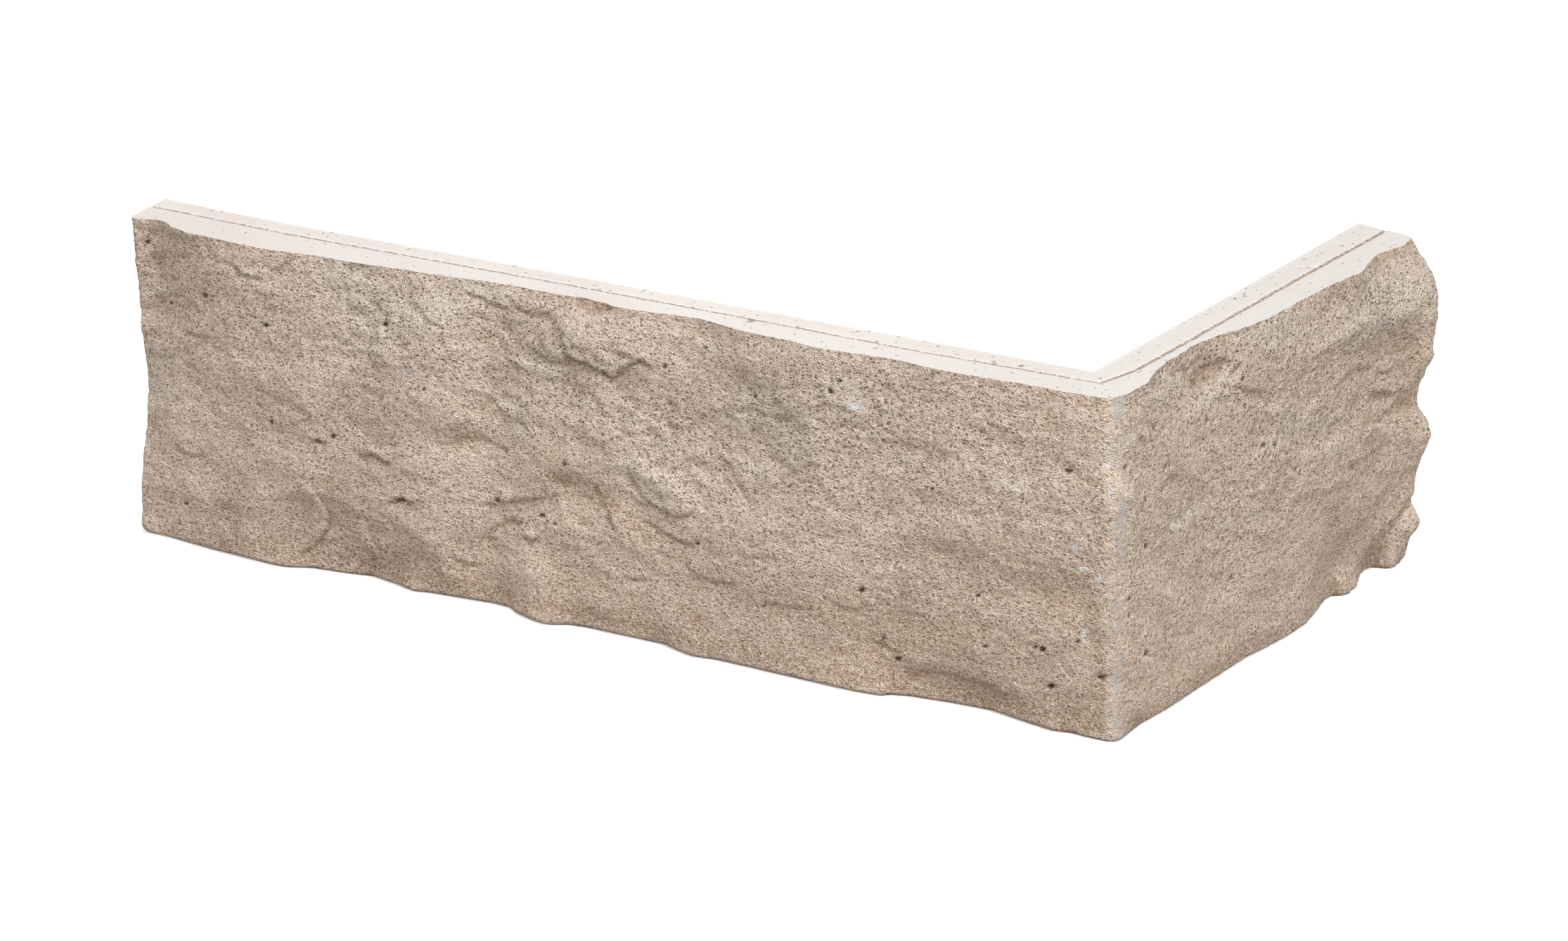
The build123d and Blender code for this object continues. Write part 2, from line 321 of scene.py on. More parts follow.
short_swells = [
    (24, 87.5, 11, 3.6, -1.5, -4), (22, 78, 14, 4, 0.8, -2, 0.3), (84, 76, 38, 7, 0.9, 2, 0.4),
    (126, 74, 16, 5, 1, 0, 0.4), (127, 62, 22, 6, -0.4), (138, 45.5, 6, 2.5, -1.2, 10),
    (122, 41.5, 12, 3, 0.6, -16), (150, 54.8, 8, 2.6, 1.6), (148, 47.5, 7, 3, 1.9), (144, 15.5, 7, 2, -1.2),
    (151, 25, 8, 6, 0.4), (150, 33, 8, 3, 0.9), (150, 9, 9, 3.2, 2.8), (150, 80, 8, 5, 0.8),
    (60, 86, 30, 6, 0.5), (55, 45, 30, 16, 0.5), (53, 40, 12, 2.5, 0.3, -25),
]

# Places that tilt up to the sky get painted light, and with a strength below 0 tilt down and get painted
# shade; the relief tilts with them:
# (place along, place up, reach along, reach up, strength), some with slope
long_painted_light_tilts = [
    (-205, 78, 22, 8, 0.35), (-272, 45, 10, 25, 0.3), (-240, 45, 16, 12, -0.4), (-205, 47, 16, 10, -0.3),
    (-32, 44, 16, 12, -0.2), (-281, 82, 5, 7, -0.4), (-120, 46, 12, 7, 0.25), (-8, 77, 14, 6, -0.25),
    (-118, 77, 10, 5, -0.2), (-148, 40, 6, 3, -0.5), (-125, 32, 6, 2.5, -0.4, -20), (-148, 12, 8, 5, -0.2),
    (-183, 48, 14, 8, -0.3), (-212, 55, 10, 6, -0.3), (-213, 31, 7, 4, -0.35), (-160, 46, 5, 3, 0.3),
    (-151, 72, 5, 3, 0.3), (-127, 77, 6, 3, 0.35), (-10, 86, 7, 4, -0.4), (8, 70, 7, 4, -0.2),
    (-40, 65, 9, 4, 0.35), (-10, 57, 8, 3, 0.35), (-4, 43, 16, 12, -0.4), (6, 8, 10, 8, -0.2),
    (-101, 76, 3, 6, -0.2), (-74, 66, 6, 5, 0.4), (-102, 36, 10, 5, 0.4), (-137, 65, 6, 3, 0.35),
    (-200, 79, 8, 4, 0.35), (-170, 87, 8, 4, 0.3), (-184, 78, 4, 5, 0.3), (-244, 81, 6, 3, 0.35),
    (-279, 42, 4, 7, 0.6), (-195, 37, 6, 3, 0.25), (-160, 22, 9, 9, 0.25), (-199, 16, 10, 3, 0.25),
    (-230, 17, 8, 5, 0.25), (-222, 5, 18, 3, -0.3), (-85, 55, 8, 5, 0.25), (-62, 81, 5, 3, 0.35),
    (-104, 86, 4, 4, 0.35), (-125, 46, 5, 3, 0.4, -30), (-112, 57, 8, 4, 0.2), (-57, 87, 6, 2.5, -0.4),
    (-72, 85, 6, 3, -0.2), (-45, 27, 10, 8, -0.25), (-62, 43, 8, 4, -0.25), (-28, 41, 8, 5, -0.3),
    (-25, 24, 6, 5, -0.25), (12, 22, 4, 5, 0.4), (-66, 15, 10, 3, 0.3), (-34, 12, 10, 2.5, 0.3),
    (-105, 10, 4, 4, -0.4), (-187, 61, 5, 3, -0.3), (-116, 42, 10, 5, 0.3), (-129, 47, 5, 2.5, 0.35, -30),
    (-163, 89, 6, 3, 0.3), (-149, 72, 3, 3, 0.3), (-186, 78, 5, 3, 0.3), (-210, 66, 7, 2.5, 0.4),
    (-205, 20, 13, 3.5, 0.35), (-234, 22, 8, 4, 0.35), (-15, 61, 14, 3, 0.2), (-78, 61, 7, 4, 0.25),
    (-134, 37, 6, 4, -0.9), (-116, 30, 14, 2.2, -0.35, -15), (-248, 22, 4, 5, -0.35),
    (-270, 24, 6, 4, -0.25), (-216, 48, 6, 7, -0.25), (-176, 50, 8, 6, -0.25), (14, 24, 3, 14, -0.4),
    (14, 56, 3, 10, -0.3), (4, 82, 8, 4, -0.3), (-18, 73, 8, 3, -0.3), (-62, 18, 34, 8, -0.25),
    (-30, 14, 30, 6, -0.2), (-40, 40, 12, 6, -0.15), (-120, 41, 18, 4, 0.5, -22), (-85, 73, 14, 6, 0.35),
    (-126, 76, 7, 4, 0.35), (-210, 80, 12, 3, 0.35), (-153, 72, 5, 3, 0.4), (-161, 62, 6, 5, 0.3),
    (-160, 50, 5, 4, 0.35), (-232, 20, 10, 4, 0.4), (-207, 20, 10, 3, 0.35), (-276, 70, 4, 22, 0.35),
    (-270, 10, 8, 5, 0.25), (-10, 66, 14, 4, 0.2), (-88, 56, 6, 5, 0.25), (-250, 54, 10, 4, -0.2),
    (-216, 86, 16, 5, 0.5), (-205, 74, 8, 4, 0.5), (-207, 68, 9, 2.2, 0.45), (-183, 84, 9, 7, 0.6),
    (-172, 88, 8, 4, 0.4), (-154, 71, 5, 3, 0.5), (-164, 60, 7, 3, 0.5, -35), (-156, 53, 5, 5, 0.45),
    (-131, 77, 4, 3, 0.4), (-143, 85, 5, 5, 0.5), (-116, 47, 12, 5, 0.6, -25), (-99, 42, 6, 7, 0.3),
    (-91, 69, 8, 4, 0.4, 30), (-77, 65, 5, 5, 0.45), (-88, 55, 5, 3, 0.4), (-72, 49, 6, 3, 0.3),
    (-58, 79, 4, 5, 0.5), (-102, 85, 4, 5, 0.35), (-11, 63, 6, 3, 0.35), (-125, 58, 8, 4, 0.25),
    (-245, 81, 5, 4, 0.25), (-238, 72, 4, 3, 0.3), (-262, 24, 4, 10, 0.2), (-240, 21, 8, 3, 0.25),
    (-205, 19, 9, 2.5, 0.3), (-163, 25, 4, 3, 0.3), (-145, 30, 7, 5, 0.3), (-277, 55, 4, 24, 0.3),
    (-122, 87, 8, 3, 0.25), (-55, 62, 12, 3, 0.2), (-222, 43, 8, 4, -0.3), (-219, 26, 5, 3, -0.4),
    (-132.5, 41.5, 5, 3, -0.6), (-147, 42, 6, 3, -0.55), (-252, 12, 3, 8, -0.25), (-247, 33, 2.5, 5, -0.25),
    (-178, 49, 6, 2.5, -0.25), (-240, 52, 12, 3, -0.2), (-117, 66, 7, 4, -0.15), (-106, 31, 5, 3, -0.2),
    (-66, 17, 5, 3, -0.2), (-25, 56, 3, 3, -0.2), (-62, 43, 3, 3, -0.2), (-19, 77, 14, 3, -0.2),
    (0, 74, 6, 4, -0.3), (-33, 69, 4, 3, -0.3), (-139, 72.5, 7, 2.5, -0.4), (-265, 68, 6, 3, -0.2),
]
short_painted_light_tilts = [
    (142, 39, 9, 5, -0.5), (138, 57, 12, 3, -0.5), (114, 45, 3, 4, -0.5), (68, 61, 5, 3, 0.4),
    (98, 57, 8, 4, 0.25), (108, 49, 4, 4, 0.4), (144, 20, 5, 6, 0.3), (147, 30, 4, 3, 0.4),
    (148, 8, 6, 4, -0.4), (135, 18, 5, 3, -0.3), (6, 87, 9, 4, 0.3), (17, 93, 8, 2, 0.3),
    (36, 80, 4, 5, 0.4), (48, 83, 6, 4, -0.45), (36, 69, 8, 3, -0.3), (66, 91, 34, 3, 0.3),
    (12, 51, 10, 4, 0.25), (92, 47, 14, 9, 0.3), (20, 45, 24, 10, 0.15), (88, 65, 12, 2, -0.25),
    (133, 74, 12, 4, 0.3), (72, 78, 10, 3, -0.2), (36, 5, 34, 4, -0.3), (75, 22, 14, 6, -0.15),
    (112, 71, 16, 3, 0.4), (98, 81, 8, 3, -0.35), (122, 41, 6, 3, 0.4), (30, 13, 34, 7, -0.3),
    (124, 8, 6, 4, -0.5), (26, 80.5, 10, 2.2, 0.9, 8), (27, 88, 8, 3, -0.8), (100, 28, 16, 10, -0.1),
    (105, 80, 40, 7, 0.3), (140, 72, 14, 6, 0.45), (60, 84, 10, 4, 0.3), (4, 90, 12, 4, 0.4),
    (85, 48, 16, 10, 0.2), (12, 50, 12, 3, 0.3), (50, 60, 14, 4, 0.2), (0, 90, 12, 5, 0.4),
    (29, 81, 9, 2.5, 0.7), (55, 88, 16, 5, 0.5), (96, 79, 22, 6, 0.5), (132, 75, 18, 6, 0.6),
    (117, 86, 6, 4, 0.4), (12, 50, 12, 2.5, 0.35), (62, 57, 12, 4, 0.35), (95, 45, 4, 6, 0.4),
    (103, 52, 5, 3, 0.3), (32, 34, 12, 3, 0.25), (130, 36, 6, 2.5, 0.25, -20), (47, 39, 8, 2, 0.2, -20),
    (-10, 48, 5, 4, 0.2), (22, 3, 22, 3, -0.3), (103, 3, 8, 3, -0.3), (133, 14, 8, 3, -0.35),
    (136, 43, 7, 2.5, -0.5), (116, 43, 4, 3, -0.3), (46, 78, 8, 4, -0.3), (75, 68, 8, 3, -0.2),
    (125, 62, 20, 5, -0.15), (115, 22, 20, 10, -0.2), (26, 56, 5, 6, -0.2), (3, 66, 6, 4, -0.25),
    (-4, 79, 4, 2.5, -0.3), (24, 88, 8, 3, -0.35), (50, 17, 14, 8, -0.15), (65, 19, 4, 2, -0.2),
]

# Open air holes: (place along, place up, half width, depth)
long_holes = [
    (-65, 79.4, 0.9, 1.5), (-62.5, 82.3, 0.7, 1), (-55.7, 27.4, 1.1, 1.5), (-3.2, 21.2, 0.9, 1.4),
    (-5.2, 21.8, 0.6, 1), (-0.5, 11.8, 1.5, 1.8), (14.8, 16.7, 1.4, 1.4), (3.8, 70, 1.3, 1.1),
    (-45.2, 10.6, 0.9, 1.3), (-240.3, 67.5, 1.1, 1.2), (-260, 72.8, 1, 1), (-201.5, 74.4, 0.9, 1.4),
    (-189.2, 58.4, 0.8, 1.2), (-219, 40, 0.8, 1.2), (-19.3, 19, 0.6, 0.9), (-22.2, 32, 0.6, 1),
    (-102.2, 84.6, 0.6, 1), (-87.8, 74, 0.6, 0.9), (-77, 52, 0.6, 0.8), (-35, 59, 0.6, 0.9),
    (15.9, 59, 0.7, 1), (-239.5, 40.4, 1, 1), (-268, 12.5, 0.8, 1), (-271, 6, 0.7, 0.9),
    (-115, 77.5, 0.6, 1), (-153.5, 29.6, 0.8, 1), (-149, 28.4, 0.6, 0.9), (-167, 31.8, 1.2, 1),
    (-198, 26, 2.2, 1), (-224, 38.1, 1.2, 0.7), (-146, 45.5, 0.9, 0.7), (-104.8, 30.8, 0.8, 0.9),
    (-250.5, 21, 0.6, 0.8), (-283, 86.5, 0.7, 1), (-279, 84.8, 0.7, 0.9), (7, 25.6, 0.8, 0.9),
    (-107, 4.2, 0.5, 0.9), (-85, 17.2, 0.5, 0.9), (-49, 15.5, 0.8, 0.7), (-272, 68.5, 0.7, 0.9),
]
short_holes = [
    (-18.6, 73.4, 1.6, 1.6), (-4.2, 79.8, 1.4, 1.2), (2.6, 67.5, 1.2, 1), (-7, 49, 1.4, 0.9),
    (-7, 20.2, 1.5, 0.9), (61.8, 56, 1, 1.3), (42.5, 79.8, 1.3, 0.8), (151.2, 34.5, 0.8, 1.2),
    (99.8, 32, 0.8, 1), (-16, 37.8, 1.2, 0.9), (-15.5, 33, 0.6, 0.8), (24, 73.6, 1, 0.7),
    (88.5, 17.5, 0.6, 0.9), (117.5, 6.2, 1.2, 0.9), (40, 26.4, 0.8, 0.7), (-8.5, 62, 0.9, 0.8),
    (114, 71.5, 0.9, 0.7), (152, 54.5, 2, 0.8), (74, 45.6, 0.9, 0.8), (56, 57.6, 1.2, 0.7),
]

relief, holes, cracks, pale_tone_and_painted_shading, bloom = np.zeros((5, columns, rows))
for (share, u, v), ledges, swells, painted_light_tilts, pits in (
    (sights[0], long_ledges, long_swells, long_painted_light_tilts, long_holes),
    (sights[1], short_ledges, short_swells, short_painted_light_tilts, short_holes),
):
    for tilt in painted_light_tilts:
        bell = share * swell(u + wander_u * 2.0, v + wander_v * 2.0, *tilt)
        # painted light where the place tilts up, painted shade where it tilts down; the relief below tilts to
        # match
        pale_tone_and_painted_shading += bell
        relief -= bell * (v - tilt[1]) * 0.3
    for broken_edge in ledges:
        step, crack = ledge(u, v, *broken_edge)
        relief += share * step
        cracks = np.maximum(cracks, share * crack)
    for form in swells:
        relief += share * swell(u + wander_u, v + wander_v, *form)
    for at_u, at_v, half, depth in pits:
        wide, tall = half * 0.85, min(half, 0.9) * 0.8
        pit = swell(u + wander_u * 0.5, v + wander_v * 0.5, at_u, at_v, wide, tall, 1.0)
        relief -= share * depth * eased(pit, 0.2, 0.8)
        # how much painted shade the air hole gets
        holes += share * eased(pit, 0.15, 0.7)

# Where the break is coarser or smoother: (place along, place up, reach along, reach up, change)
long_coarse = [
    (-200, 78, 60, 18, 0.55), (-120, 62, 45, 18, 0.5), (-60, 74, 45, 18, 0.5), (-10, 62, 40, 14, 0.3),
    (-230, 15, 50, 16, -0.1), (-208, 12, 14, 8, 0.25), (-140, 8, 60, 10, -0.2), (-150, 46, 14, 5, -0.5),
    (-40, 12, 60, 14, -0.25), (-115, 74, 14, 5, -0.3),
]
short_coarse = [(30, 88, 60, 14, 0.6), (120, 80, 40, 14, 0.5), (50, 55, 60, 20, 0.5), (70, 14, 80, 16, -0.2)]
coarse = 0.42 + 0.25 * ripple(RUN / 38.0, Z / 22.0, 21)
for (share, u, v), changes in zip(sights, (long_coarse, short_coarse)):
    for change in changes:
        coarse += share * swell(u, v, *change)
coarse = np.clip(coarse + 0.12 * share_short, 0.08, 1.2)

# The break's layers are drawn out along lines that dip and rise: (way along the faces, slope)
layer_slopes = np.array([
    (-288, 0.1), (-180, 0.12), (-120, -0.3), (-85, 0.25), (-30, 0.2), (10, -0.1), (30, -0.6), (60, -0.6),
    (100, -0.2), (183, -0.15),
])
slope = np.interp(run, *layer_slopes.T)
slant = Z - np.cumsum(slope * np.gradient(run))[:, None]

# Lumps of the layers: broad ones, finer ones as (length, height, rise, warp, seed), and crests
warp = ripple(RUN / 9.0, Z / 7.0, 31)
lumps = ripple(RUN / 17.0, slant / 10.0, 32) * 0.6
for long, tall, rise, shift, seed in (
    (8.5, 6.0, 0.36, 1.0, 33), (4.8, 3.8, 0.18, 0.7, 34), (2.9, 2.5, 0.10, 0.4, 35),
):
    drawn = long * (1.0 + 0.5 * share_short)
    grid = RUN / drawn + shift * warp * 0.4, slant / tall + shift * warp
    lumps += ripple(*grid, seed) * rise * (0.35 + coarse)
crests = 0.5 - np.abs(ripple(RUN / 6.0, (slant + 1.2 * warp) / 3.0, 36))
lumps += crests * 0.10 * coarse
relief += lumps

reach = base + relief

# The chipped lower edge, as seen square on to each face: (place along, place up)
long_foot_line = np.array([
    (-278, 1.9), (-262, 1), (-240, 0.3), (-236, 0.4), (-228, 1.6), (-215, 2.3), (-208, 2.9), (-200, 2),
    (-195, 1.2), (-190, 1.7), (-180, 2.1), (-170, 2.5), (-164, 2.3), (-161, 1), (-156, 0.1), (-153, -0.1),
    (-150, 0.2), (-146, 1), (-140, 1.3), (-116, 1.2), (-113, 0.6), (-108, -0.3), (-100, 0.1), (-90, 0),
    (-70, -0.3), (-58, -0.4), (-50, -0.1), (-48, 0.6), (-42, 1.3), (-30, 1.9), (-18, 2.1), (-8, 1), (0, 0.2),
    (12, 0),
])
short_foot_line = np.array([
    (-20, 1.6), (-7, 2.4), (5, 1.9), (50, 1.9), (60, 1.2), (70, 0.7), (82, 0.7), (90, 2), (96, 3.4),
    (100, 3.2), (104, 1.8), (109, 0.9), (114, 2.4), (121, 4.4), (129, 3.5), (134, 1.3), (139, 0.1),
    (144, 1.4), (148, 4.2),
])

# Rounding of the lower edge: least at the arris, most at the left end
turn_from_arris = np.abs(degrees - 46.0)
from_left = (root_x + long_leg)[:, None]
from_right = (short_leg - root_y)[:, None]
foot = 1.8 + 0.6 * ripple(RUN / 15.0, Z * 0.0, 41)
foot *= 1.0 - 0.6 * np.exp(-((turn_from_arris / 35.0) ** 2))
foot += 3.0 * np.exp(-from_left / 4.0)

# The depth at which the rounded edge is seen on its line, found by turns with the place along it
long_foot_reach = short_foot_reach = base[:, 0]
for _ in range(3):
    seen_at = root_x + long_shift * (seen_depth - long_foot_reach)
    seen_up = np.interp(seen_at, *long_foot_line.T) - 0.3 - 0.32 * foot[:, 0]
    long_foot_reach = seen_depth - seen_up / long_lift
    seen_at = root_y + short_shift * (short_foot_reach - seen_depth)
    seen_up = np.interp(seen_at, *short_foot_line.T) - 0.8 - 0.32 * foot[:, 0]
    short_foot_reach = seen_depth - seen_up / short_lift
near_foot = np.exp(-((Z / 6.0) ** 2))
straight = eased(np.abs(degrees - 45.0), 25.0, 45.0)
long_move = (long_foot_reach - base[:, 0])[:, None]
short_move = (short_foot_reach - base[:, 0])[:, None]
reach += straight * (share_long * long_move + share_short * short_move) * near_foot
reach -= straight * (relief * near_foot * 0.8)

# Worn arris and rounded corners
reach -= 0.9 * np.exp(-(turn_from_arris / 7.0) ** 2) * (1.0 - 1.6 * np.exp(-Z / 5.0))
reach -= rounding(Z, foot)
for from_end, low_corner in ((from_left, 3.0), (from_right, 1.5)):
    reach -= rounding(from_end, 1.6 + low_corner * np.exp(-Z / 4.0))

# Painted shade along the foot of the long face: (place along, strength)
long_painted_foot_shade_line = np.array([
    (-285, 0.2), (-250, 0.4), (-240, 1.2), (-166, 1.1), (-162, 0.4), (-158, 0.4), (-152, 1.2), (-115, 1.1),
    (-110, 0.7), (-105, 0.95), (0, 0.85), (20, 0.4),
])
painted_foot_shade = share_long * np.interp(long_u, *long_painted_foot_shade_line.T) + share_short * 0.7
# Paler where the break is coarser, and painted shade along the foot
pale_tone_and_painted_shading += 0.35 * (coarse - 0.55 - 0.2 * share_short) - painted_foot_shade * np.exp(-((Z / 5.5) ** 2))
# Painted shade lower down the long face and along the arris
painted_lower_shade = 0.2 * share_long * np.clip(1.0 - Z / 60.0, 0.0, 1.0)
pale_tone_and_painted_shading -= painted_lower_shade + 0.45 * np.exp(-((turn_from_arris / 20.0) ** 2))
# Painted shade towards the foot of the long face, but not at its left end
pale_tone_and_painted_shading -= 0.25 * share_long * (1.0 - eased(Z, 22.0, 42.0)) * eased(long_u, -275.0, -250.0)

# How deep each place lies among its neighbours, near and farther off; these give painted shade in hollows and
# a painted highlight on crests
painted_hollow_shading = np.clip((softened(reach, 1.6) - reach) / 0.5, -1.0, 1.0)
painted_broad_shade = np.clip((softened(reach, 5.0) - reach) / 1.5, -1.0, 1.0)

# Chalky patches: (place along, place up, reach along, reach up, strength)
long_blooms = [
    (-57.5, 76.5, 1.9, 1.7, 1), (-188.5, 73.8, 1.2, 1, 0.9), (-186, 68, 1, 1.3, 0.6),
    (-184.8, 65.5, 1, 0.8, 0.5), (-194.8, 62.8, 1.4, 1.4, 0.7), (-192, 61.2, 0.8, 0.7, 0.5),
    (-69.5, 48.8, 1, 1.4, 0.6), (-43, 46.5, 3, 1.6, 0.5), (14.8, 73.6, 1.2, 1, 0.9),
    (15.8, 66.5, 1.2, 2, 0.8), (6.5, 50.5, 1.8, 1.2, 0.8), (8.5, 45.2, 1.2, 1.2, 0.9),
    (12.8, 43.2, 1.6, 1.6, 0.8), (9, 27.6, 1.3, 2, 0.8), (-8.5, 53.5, 1.2, 1, 0.7), (-98, 34.5, 4, 5, 0.2),
    (-154, 8, 4.5, 3, 0.25), (-264.5, 90, 2.5, 1.5, 0.4),
]
short_blooms = [(96, 44, 2.6, 5, 0.35), (-9, 42, 6, 5, 0.3), (14, 33, 6, 2.5, 0.2)]
for (share, u, v), blooms in zip(sights, (long_blooms, short_blooms)):
    for patch in blooms:
        bloom = np.maximum(bloom, share * swell(u, v, *patch))
width = 8.5 + 3.0 * ripple(Z / 13.0, RUN * 0.0, 51) + 2.0 * ripple(Z / 4.0, RUN / 3.0, 53)
worn = np.exp(-(turn_from_arris / width) ** 2) * (0.75 + 0.35 * ripple(Z / 7.0, RUN / 3.0, 52))


# ---- the mesh

# What each mesh face belongs to; the edges between two of these are sharp
split, upper_bed, lower_bed, long_wall, short_wall, left_end, right_end = range(7)

# Cells of the plain sides: up, along each wall side and across each end
side_rows = 30
long_side_cells, short_side_cells, end_cells = 90, 46, 6

points, faces, sides = [], [], []
mark_names = ("painted_hollow_shading", "painted_broad_shade", "hole", "crack", "worn", "bloom", "seam", "grain", "pale_tone_and_painted_shading")
marks = {name: [] for name in mark_names}


def point(x, y, z, **given):
    """A new mesh point with its marks, as its number."""
    points.append((x * mm, y * mm, z * mm))
    for name, values in marks.items():
        values.append(given.get(name, 0.0))
    return len(points) - 1


def outwards(c, away):
    """The place that far from the wall side in a column."""
    return root_x[c] + head_x[c] * away, root_y[c] + head_y[c] * away


def face(corners, side):
    """A new mesh face, without corners that fall together."""
    kept = [c for i, c in enumerate(corners) if c != corners[i - 1]]
    if len(kept) > 2:
        faces.append(kept)
        sides.append(side)


fields = dict(painted_hollow_shading=painted_hollow_shading, painted_broad_shade=painted_broad_shade, hole=holes, crack=cracks)
fields |= dict(worn=worn, bloom=bloom, grain=coarse, pale_tone_and_painted_shading=pale_tone_and_painted_shading)
outer = np.zeros((columns, rows), int)
for c in range(columns):
    for r in range(rows):
        given = {name: field[c, r] for name, field in fields.items()}
        outer[c, r] = point(*outwards(c, reach[c, r]), up[r], **given)
for c in range(columns - 1):
    for r in range(rows - 1):
        face([outer[c, r], outer[c + 1, r], outer[c + 1, r + 1], outer[c, r + 1]], split)

# The seam's distance from the wall side: along each leg as (place, distance), and round the arris
long_seam_line = np.array([(-287, 5.5), (-240, 7.5), (-190, 7), (-150, 6.8), (-100, 7), (-45, 8), (0, 7)])
short_seam_line = np.array([(0, 6.9), (5, 8), (20, 8.5), (100, 8.5), (145, 9)])
seam_turn = np.minimum(
    7.0 / np.maximum(np.cos(angle), 0.01), 6.96 / (np.sin(angle) + 0.208 * np.cos(angle))
)
seam = np.concatenate([
    np.interp(root_x, *long_seam_line.T)[:first_turn],
    seam_turn[first_turn:first_short],
    np.interp(root_y, *short_seam_line.T)[first_short:],
])
seam = seam + 0.25 * ripple(run / 5.0, run * 0.0, 61) + 0.12 * ripple(run / 1.7, run * 0.0, 62)

# Lines of points across the upper bed, from the split edge in: ways from the edge, shares of the
# strip before the seam, offsets from the seam with the groove's depth, shares of the strip behind
# it, which lies lower, and the gap to the wall side. The lower bed has shares of its width.
rim_ways = (0.35, 0.9, 1.8, 3.0)
front_shares = (0.33, 0.66)
seam_offsets = {1.6: 0.0, 0.95: 0.0, 0.5: 0.25, 0.0: 0.5, -0.5: 0.25, -0.95: 0.0}
rear_shares = (0.2, 0.4, 0.6, 0.8)
wall_gap = 0.3
lower_shares = (0.06, 0.2, 0.45, 0.7, 0.95)
narrowest_front = 0.6
rear_drop = 0.12

# Air holes of the upper bed: (x, y, half width, depth)
bed_holes = [
    (-96, -8.4, 1, 1.2), (-234.5, -9.8, 0.9, 0.8), (-213, -10, 0.8, 0.8), (-206, -1.1, 0.8, 0.8),
    (-57, -11, 0.7, 0.6), (-26, -4.8, 0.9, 0.7), (-18.5, -4.4, 1, 0.8), (4.6, 129, 0.9, 1), (4, 105, 0.9, 1),
    (6.5, 106.6, 0.7, 0.8), (8.5, 108, 0.8, 0.8), (12, 107, 0.5, 0.5), (1.5, 73, 0.8, 1),
    (12.5, 87.5, 0.6, 0.6), (3.2, 76, 0.6, 0.6), (-83, -6, 0.6, 0.5), (-68, -1.6, 0.6, 0.4),
    (-93, -2, 0.7, 0.4), (5, 26, 0.5, 0.5), (12.5, 64, 0.5, 0.4), (-170, -3, 0.4, 0.4),
    (-126, -3.2, 0.4, 0.4), (-103, -10, 0.5, 0.4), (-14, -5.5, 0.6, 0.4), (6, 131, 0.6, 0.8),
    (2.4, 86, 0.5, 0.5), (3.4, 120, 0.5, 0.5), (-223, -8.2, 0.4, 0.4), (-255, -5, 0.4, 0.3),
    (-44, -1.5, 0.4, 0.3),
]

pole = {top: point(0.0, 0.0, height if top else 0.0) for top in (True, False)}


def bed_ways(top):
    """Lines across a bed from the split edge in: distances from the wall side, and groove depth."""
    rim, wall = reach[:, -1 if top else 0], -back
    if not top:
        return [(rim + (wall - rim) * part, 0.0) for part in lower_shares]
    first, last = max(seam_offsets), min(seam_offsets)
    deep = rim_ways[-1]
    near_seam = seam + first
    near_rim = np.maximum(rim - deep, near_seam + narrowest_front)
    behind = wall + wall_gap - seam - last
    ways = [(rim - way * (rim - near_rim) / deep, 0.0) for way in rim_ways]
    ways += [(near_rim + (near_seam - near_rim) * part, 0.0) for part in front_shares]
    ways += [(seam + offset, groove) for offset, groove in seam_offsets.items()]
    ways += [(seam + last + behind * part, 0.0) for part in rear_shares]
    return ways + [(wall + wall_gap, 0.0)]


def bed(top):
    """A cast bed, from the split edge in to the wall side; the upper one carries the seam."""
    z = height if top else 0.0
    lines = [outer[:, -1 if top else 0]]
    for away, groove in bed_ways(top):
        line = []
        for c in range(columns):
            x, y = outwards(c, away[c])
            dip, hole = groove, 0.0
            if top and away[c] < seam[c] - 0.1:
                dip += rear_drop
            for hx, hy, half, depth in bed_holes if top else ():
                if max(abs(x - hx), abs(y - hy)) < 2.5:
                    pit = math.exp(-((x - hx) / half) ** 2 - ((y - hy) / (half * 0.8)) ** 2)
                    dip += depth * pit
                    # how much painted shade the bed's air hole gets
                    hole = max(hole, min(pit * 1.3, 1.0))
            line.append(point(x, y, z - dip, hole=hole, seam=float(groove > 0.0)))
        lines.append(np.array(line))
    lines.append(np.array([
        pole[top] if first_turn <= c <= first_short else point(*outwards(c, -back[c]), z)
        for c in range(columns)
    ]))
    for one, two in zip(lines, lines[1:]):
        for c in range(columns - 1):
            face([one[c], one[c + 1], two[c + 1], two[c]], upper_bed if top else lower_bed)
    return lines


upper = bed(True)
lower = bed(False)


